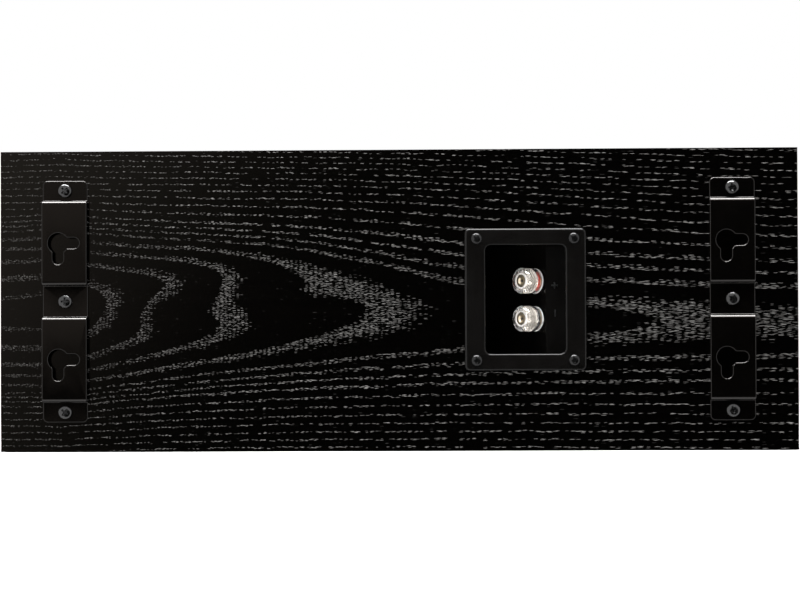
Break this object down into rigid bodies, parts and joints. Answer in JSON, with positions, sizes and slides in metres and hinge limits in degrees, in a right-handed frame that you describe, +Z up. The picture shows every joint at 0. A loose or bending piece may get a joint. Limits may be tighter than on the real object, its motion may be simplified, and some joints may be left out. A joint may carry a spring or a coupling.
{
  "type": "center channel speaker",
  "caption": "Slim black-ash centre channel speaker with keyhole hanging brackets and a recessed terminal cup on its back, cone woofers round a dome tweeter, and a pull-off cloth grille.",
  "frame": {"origin": "middle of the cabinet's bottom face, without the grille", "axes": "+Z up, drivers and grille face -Y, terminals and brackets face +Y, +X along the cabinet's length"},
  "size_m": [0.4, 0.1357, 0.151],
  "materials": {
    "ash_veneer": "black-stained open-pore ash, satin",
    "baffle_paint": "matt black paint",
    "absorbent_felt": "felted fibre",
    "bracket_paint": "satin black coating",
    "black_screw": "glossy black oxide",
    "cup_plastic": "fine moulded texture",
    "gasket_foam": "closed-cell foam",
    "gold_plate": "gold plated",
    "knurled_nickel": "knurled nickel",
    "clear_plastic": "clear, polished",
    "red_plastic": "gloss red",
    "black_plastic": "gloss black",
    "zinc_steel": "zinc plated",
    "tinned_brass": "tinned",
    "basket_paint": "satin black",
    "surround_rubber": "satin rubber",
    "cone_paper": "coated paper",
    "spider_cloth": "impregnated cloth",
    "coil_copper": "enamelled copper",
    "ferrite": "ground ferrite",
    "faceplate_plastic": "fine texture",
    "dome_silk": "coated silk",
    "board_laminate": "phenolic laminate",
    "spacer_nylon": "natural nylon",
    "capacitor_film": "wrapped film",
    "resistor_cement": "cement",
    "lead_insulation": "soft insulation",
    "grille_board": "black painted board",
    "grille_cloth": "knitted cloth",
    "peg_plastic": "moulded",
    "socket_rubber": "moulded rubber"
  },
  "bodies": {
    "cabinet": {"top_panel": "ash_veneer", "bottom_panel": "ash_veneer", "left_end_panel": "ash_veneer", "right_end_panel": "ash_veneer", "rear_panel": "ash_veneer", "front_baffle": "baffle_paint", "absorbent_pads": "absorbent_felt", "left_bracket": "bracket_paint", "right_bracket": "bracket_paint", "bracket_screws": "black_screw", "terminal_screws": "black_screw", "woofer_screws": "black_screw", "tweeter_screws": "black_screw", "terminal_cup": "cup_plastic", "terminal_gasket": "gasket_foam", "woofer_gaskets": "gasket_foam", "red_post_stud": "gold_plate", "black_post_stud": "gold_plate", "post_nuts": "zinc_steel", "crossover_screws": "zinc_steel", "woofer_top_plates": "zinc_steel", "woofer_yokes": "zinc_steel", "tweeter_top_plate": "zinc_steel", "tweeter_yoke": "zinc_steel", "post_solder_tags": "tinned_brass", "left_woofer_basket": "basket_paint", "right_woofer_basket": "basket_paint", "left_woofer_surround": "surround_rubber", "right_woofer_surround": "surround_rubber", "left_woofer_spider": "spider_cloth", "right_woofer_spider": "spider_cloth", "tweeter_voice_coil": "coil_copper", "woofer_choke": "coil_copper", "tweeter_choke": "coil_copper", "woofer_magnets": "ferrite", "tweeter_magnet": "ferrite", "tweeter_faceplate": "faceplate_plastic", "tweeter_dome": "dome_silk", "crossover_board": "board_laminate", "crossover_spacers": "spacer_nylon", "capacitors": "capacitor_film", "resistor": "resistor_cement", "wiring_loom": "lead_insulation", "grille_sockets": "socket_rubber"},
    "left_cone": {"left_woofer_cone": "cone_paper", "left_woofer_dust_cap": "cone_paper", "left_woofer_voice_coil": "coil_copper"},
    "right_cone": {"right_woofer_cone": "cone_paper", "right_woofer_dust_cap": "cone_paper", "right_woofer_voice_coil": "coil_copper"},
    "red_ring": {"red_post_ring": "red_plastic"},
    "red_cap": {"red_post_shell": "clear_plastic", "red_post_insert": "knurled_nickel"},
    "black_ring": {"black_post_ring": "black_plastic"},
    "black_cap": {"black_post_shell": "clear_plastic", "black_post_insert": "knurled_nickel"},
    "grille": {"grille_frame": "grille_board", "grille_cloth": "grille_cloth", "grille_pegs": "peg_plastic"}
  },
  "joints": [
    {"name": "left_cone_travel", "type": "slide", "parent": "cabinet", "child": "left_cone", "axis": [0, -1, 0], "range_m": [-0.003, 0.003], "stiffness_N_per_m": 1100, "deforming": ["left_woofer_surround", "left_woofer_spider"]},
    {"name": "right_cone_travel", "type": "slide", "parent": "cabinet", "child": "right_cone", "axis": [0, -1, 0], "range_m": [-0.003, 0.003], "stiffness_N_per_m": 1100, "deforming": ["right_woofer_surround", "right_woofer_spider"]},
    {"name": "red_cap_rise", "type": "slide", "parent": "cabinet", "child": "red_ring", "axis": [0.7193, 0.6947, 0], "range_m": [0, 0.0045]},
    {"name": "red_cap_turn", "type": "hinge", "parent": "red_ring", "child": "red_cap", "pos_m": [-0.0651, 0.05331, 0.085], "axis": [0.7193, 0.6947, 0], "range_deg": [0, 1620]},
    {"name": "black_cap_rise", "type": "slide", "parent": "cabinet", "child": "black_ring", "axis": [0.7193, 0.6947, 0], "range_m": [0, 0.0045]},
    {"name": "black_cap_turn", "type": "hinge", "parent": "black_ring", "child": "black_cap", "pos_m": [-0.0651, 0.05331, 0.066], "axis": [0.7193, 0.6947, 0], "range_deg": [0, 1620]},
    {"name": "grille_pull", "type": "slide", "parent": "cabinet", "child": "grille", "axis": [0, -1, 0], "range_m": [0, 0.06]}
  ],
  "couplings": [
    {"joint": "red_cap_turn", "follows": "red_cap_rise", "rad_per_m": 6283.1},
    {"joint": "black_cap_turn", "follows": "black_cap_rise", "rad_per_m": 6283.1}
  ]
}
